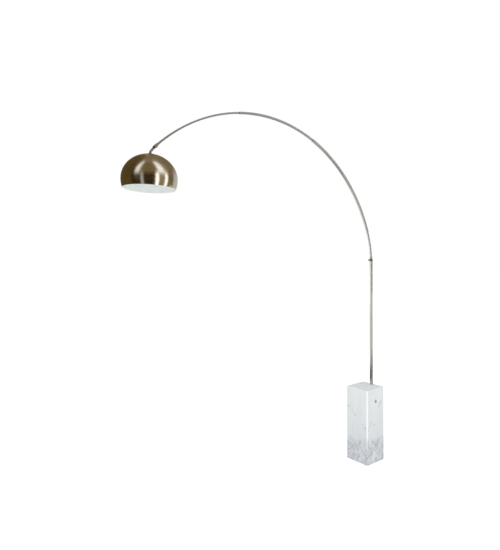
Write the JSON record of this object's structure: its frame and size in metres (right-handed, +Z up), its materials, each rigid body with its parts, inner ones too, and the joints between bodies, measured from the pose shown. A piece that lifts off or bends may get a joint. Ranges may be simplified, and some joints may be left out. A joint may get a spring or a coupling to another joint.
{
  "type": "arc floor lamp",
  "caption": "Arc floor lamp: tall square marble block, square post, swivelling telescoping square-tube arch and a tilting domed metal shade with a white inside.",
  "frame": {"origin": "centre of the felt underside of the marble block, on the floor", "axes": "+Z up; the arch reaches along -X from a post near the block's +X edge; the arch lies in the XZ plane; +Y completes a right-handed frame"},
  "size_m": [2.0096, 0.2972, 2.4577],
  "materials": {
    "marble": "polished white marble with grey veins",
    "felt": "felt",
    "brushed_tube": "brushed nickel",
    "dark_nickel": "satin dark nickel",
    "plated_steel": "zinc plated",
    "brushed_shade": "spun and brushed, warm nickel tone",
    "white_lacquer": "matte white lacquer",
    "black_plastic": "matte",
    "white_plastic": "moulded",
    "lead": "flexible sheathing",
    "brass": "bright",
    "opal_glass": "opal white"
  },
  "bodies": {
    "base": {"marble_base": "marble", "base_felt": "felt", "post_tube": "brushed_tube", "post_foot_plug": "plated_steel", "clamp_rod": "plated_steel", "clamp_plate": "plated_steel", "clamp_washer": "plated_steel", "clamp_nut": "plated_steel", "cord_gland": "black_plastic", "lead_post": "lead", "swivel_collar": "dark_nickel", "swivel_disc": "white_plastic"},
    "collar_screw": {"collar_screw": "dark_nickel"},
    "lower_arm": {"arm_spigot": "dark_nickel", "foot_ferrule": "dark_nickel", "lower_arc": "brushed_tube", "outer_arc": "brushed_tube", "arc_pin_front": "plated_steel", "arc_pin_back": "plated_steel", "lead_arm": "lead"},
    "mid_arm": {"mid_arc": "brushed_tube", "mid_arc_glide": "white_plastic", "lead_mid": "lead"},
    "end_arm": {"end_arc": "brushed_tube", "end_arc_glide": "white_plastic", "lead_end": "lead", "knuckle_fork": "dark_nickel", "knuckle_pad_front": "black_plastic", "knuckle_pad_back": "black_plastic", "pivot_screw": "plated_steel"},
    "hand_wheel": {"hand_wheel": "dark_nickel"},
    "shade": {"knuckle_tongue": "dark_nickel", "neck_tube": "brushed_tube", "lead_neck": "lead", "shade_cap": "dark_nickel", "shade_shell": "brushed_shade", "shade_liner": "white_lacquer", "shade_washer": "plated_steel", "shade_nut": "plated_steel", "lamp_holder": "white_plastic", "socket_sleeve": "brass", "centre_contact": "brass", "holder_ring": "white_plastic", "lamp_cap": "plated_steel", "lamp_glass": "opal_glass"}
  },
  "joints": [
    {"name": "arm_swivel", "type": "hinge", "parent": "base", "child": "lower_arm", "pos_m": [0.077, 0, 1.538], "axis": [0, 0, 1], "range_deg": [-170, 170]},
    {"name": "mid_section_slide", "type": "hinge", "parent": "lower_arm", "child": "mid_arm", "pos_m": [-0.98779, 0, 1.3612], "axis": [0, 1, 0], "range_deg": [0, 31]},
    {"name": "end_section_slide", "type": "hinge", "parent": "mid_arm", "child": "end_arm", "pos_m": [-0.98779, 0, 1.3612], "axis": [0, 1, 0], "range_deg": [0, 30]},
    {"name": "shade_tilt", "type": "hinge", "parent": "end_arm", "child": "shade", "pos_m": [-1.72348, 0, 2.16547], "axis": [0, 1, 0], "range_deg": [-40, 55]},
    {"name": "collar_screw_turn", "type": "hinge", "parent": "base", "child": "collar_screw", "pos_m": [0.06, 0, 1.529], "axis": [-1, 0, 0], "range_deg": [0, 360]},
    {"name": "hand_wheel_turn", "type": "hinge", "parent": "end_arm", "child": "hand_wheel", "pos_m": [-1.72348, 0, 2.16547], "axis": [0, -1, 0], "range_deg": [0, 360]}
  ]
}
